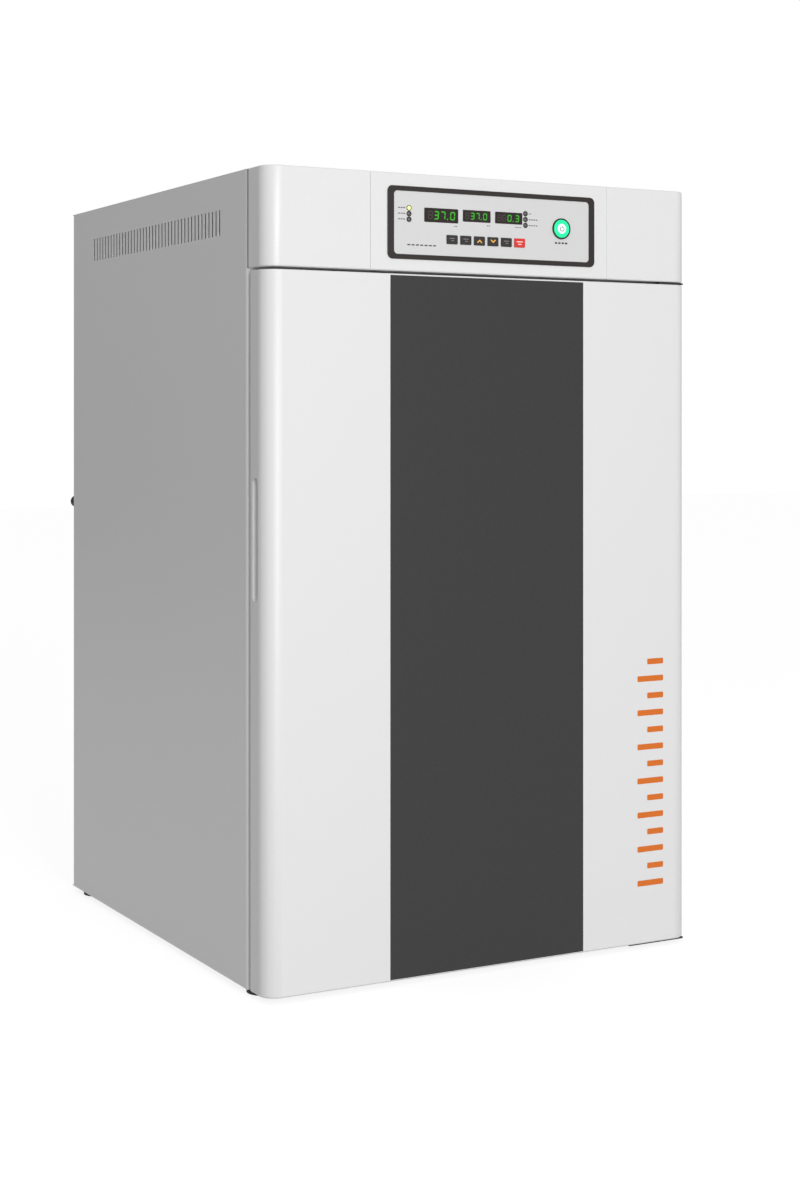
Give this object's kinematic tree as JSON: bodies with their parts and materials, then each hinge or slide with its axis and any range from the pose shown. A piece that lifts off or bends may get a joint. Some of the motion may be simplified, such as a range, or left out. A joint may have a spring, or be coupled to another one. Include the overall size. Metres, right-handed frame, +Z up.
{
  "type": "carbon dioxide incubator",
  "caption": "Free-standing laboratory incubator with an outer door, inner glass door, slotted shelves, humidity pan, circulation fan and a lit control fascia.",
  "frame": {"origin": "on the floor, under the middle of the whole machine's box", "axes": "+Z up, -Y out of the door's front, +X to the right seen from the front"},
  "size_m": [0.574, 0.6626, 0.927],
  "materials": {
    "cabinet_paint": "satin",
    "galvanised_sheet": "matte",
    "fascia_plastic": "satin",
    "dark_panel": "matte",
    "dark_plastic": "satin",
    "face_plastic": "satin",
    "lens": "gloss",
    "lamp": "gloss",
    "circuit_board": "satin",
    "key_dark": "satin",
    "key_red": "satin",
    "lit_button": "gloss",
    "screw_steel": "satin",
    "stainless": "brushed",
    "motor_case": "satin",
    "nickel_brass": "satin",
    "rubber_black": "matte",
    "silicone": "matte",
    "gasket_grey": "matte",
    "white_plastic": "satin",
    "knob_plastic": "gloss",
    "fibre": "matte",
    "clear_glass": "gloss"
  },
  "bodies": {
    "cabinet": {"left_side_panel": "cabinet_paint", "right_side_panel": "cabinet_paint", "top_panel": "cabinet_paint", "base_pan": "cabinet_paint", "rear_panel": "cabinet_paint", "rear_spacers": "rubber_black", "feet": "rubber_black", "front_frame": "cabinet_paint", "fascia_left": "fascia_plastic", "fascia_centre": "fascia_plastic", "fascia_right": "fascia_plastic", "control_bezel": "dark_plastic", "control_face": "face_plastic", "display_windows": "lens", "display_board": "circuit_board", "indicator_lights": "lamp", "power_switch": "dark_plastic", "bay_floor": "galvanised_sheet", "main_board": "circuit_board", "power_supply": "motor_case", "gas_valve": "motor_case", "gas_filter": "white_plastic", "gas_pipes": "silicone", "co2_inlet": "nickel_brass", "mains_inlet": "dark_plastic", "chamber": "stainless", "insulation": "fibre", "chamber_seal": "silicone", "shelf_racks": "stainless", "fan_cover": "stainless", "fan_motor": "motor_case", "co2_sensor": "stainless", "temperature_probe": "stainless", "port_sleeve": "white_plastic", "hinge_brackets": "screw_steel", "glass_hinge_frame_leaves": "screw_steel"},
    "outer_door": {"door_shell": "cabinet_paint", "door_panel": "dark_panel", "door_liner": "white_plastic", "door_insulation": "fibre", "door_gasket": "gasket_grey"},
    "inner_door": {"glass_door": "clear_glass", "glass_hinge_leaves": "screw_steel", "glass_knob": "knob_plastic"},
    "latch": {"turn_latch": "screw_steel"},
    "power": {"power_button": "lit_button"},
    "fan": {"fan_impeller": "stainless"},
    "shelf_low": {"lower_shelf": "stainless"},
    "shelf_high": {"upper_shelf": "stainless"},
    "pan": {"water_pan": "stainless"},
    "plug": {"port_plug": "silicone"},
    "key_menu_cap": {"key_menu": "key_dark"},
    "key_set_cap": {"key_set": "key_dark"},
    "key_up_cap": {"key_up": "key_dark"},
    "key_down_cap": {"key_down": "key_dark"},
    "key_mute_cap": {"key_mute": "key_dark"},
    "key_stop_cap": {"key_stop": "key_red"}
  },
  "joints": [
    {"name": "outer_door_hinge", "type": "hinge", "parent": "cabinet", "child": "outer_door", "pos_m": [0.271, -0.31025, 0.4095], "axis": [0, 0, 1], "range_deg": [0, 120]},
    {"name": "glass_door_hinge", "type": "hinge", "parent": "cabinet", "child": "inner_door", "pos_m": [0.2317, -0.28415, 0.407], "axis": [0, 0, 1], "range_deg": [0, 102]},
    {"name": "latch_turn", "type": "hinge", "parent": "cabinet", "child": "latch", "pos_m": [-0.24, -0.28115, 0.407], "axis": [0, -1, 0], "range_deg": [0, 90]},
    {"name": "power_button_press", "type": "slide", "parent": "cabinet", "child": "power", "axis": [0, 1, 0], "range_m": [0, 0.0016], "stiffness_N_per_m": 600, "springref_m": -0.002},
    {"name": "fan_spin", "type": "hinge", "parent": "cabinet", "child": "fan", "pos_m": [0, 0.13205, 0.527], "axis": [0, 1, 0], "continuous": true},
    {"name": "lower_shelf_slide", "type": "slide", "parent": "cabinet", "child": "shelf_low", "axis": [0, -1, 0], "range_m": [0, 0.03]},
    {"name": "upper_shelf_slide", "type": "slide", "parent": "cabinet", "child": "shelf_high", "axis": [0, -1, 0], "range_m": [0, 0.03]},
    {"name": "water_pan_slide", "type": "slide", "parent": "cabinet", "child": "pan", "axis": [0, -1, 0], "range_m": [0, 0.03]},
    {"name": "port_plug_pull", "type": "slide", "parent": "cabinet", "child": "plug", "axis": [0, 1, 0], "range_m": [0, 0.04]},
    {"name": "key_menu_press", "type": "slide", "parent": "cabinet", "child": "key_menu_cap", "axis": [0, 1, 0], "range_m": [0, 0.0006], "stiffness_N_per_m": 400, "springref_m": -0.001},
    {"name": "key_set_press", "type": "slide", "parent": "cabinet", "child": "key_set_cap", "axis": [0, 1, 0], "range_m": [0, 0.0006], "stiffness_N_per_m": 400, "springref_m": -0.001},
    {"name": "key_up_press", "type": "slide", "parent": "cabinet", "child": "key_up_cap", "axis": [0, 1, 0], "range_m": [0, 0.0006], "stiffness_N_per_m": 400, "springref_m": -0.001},
    {"name": "key_down_press", "type": "slide", "parent": "cabinet", "child": "key_down_cap", "axis": [0, 1, 0], "range_m": [0, 0.0006], "stiffness_N_per_m": 400, "springref_m": -0.001},
    {"name": "key_mute_press", "type": "slide", "parent": "cabinet", "child": "key_mute_cap", "axis": [0, 1, 0], "range_m": [0, 0.0006], "stiffness_N_per_m": 400, "springref_m": -0.001},
    {"name": "key_stop_press", "type": "slide", "parent": "cabinet", "child": "key_stop_cap", "axis": [0, 1, 0], "range_m": [0, 0.0006], "stiffness_N_per_m": 400, "springref_m": -0.001}
  ],
  "couplings": [
    {"joint": "glass_door_hinge", "follows": "outer_door_hinge", "ratio": 0.85}
  ]
}
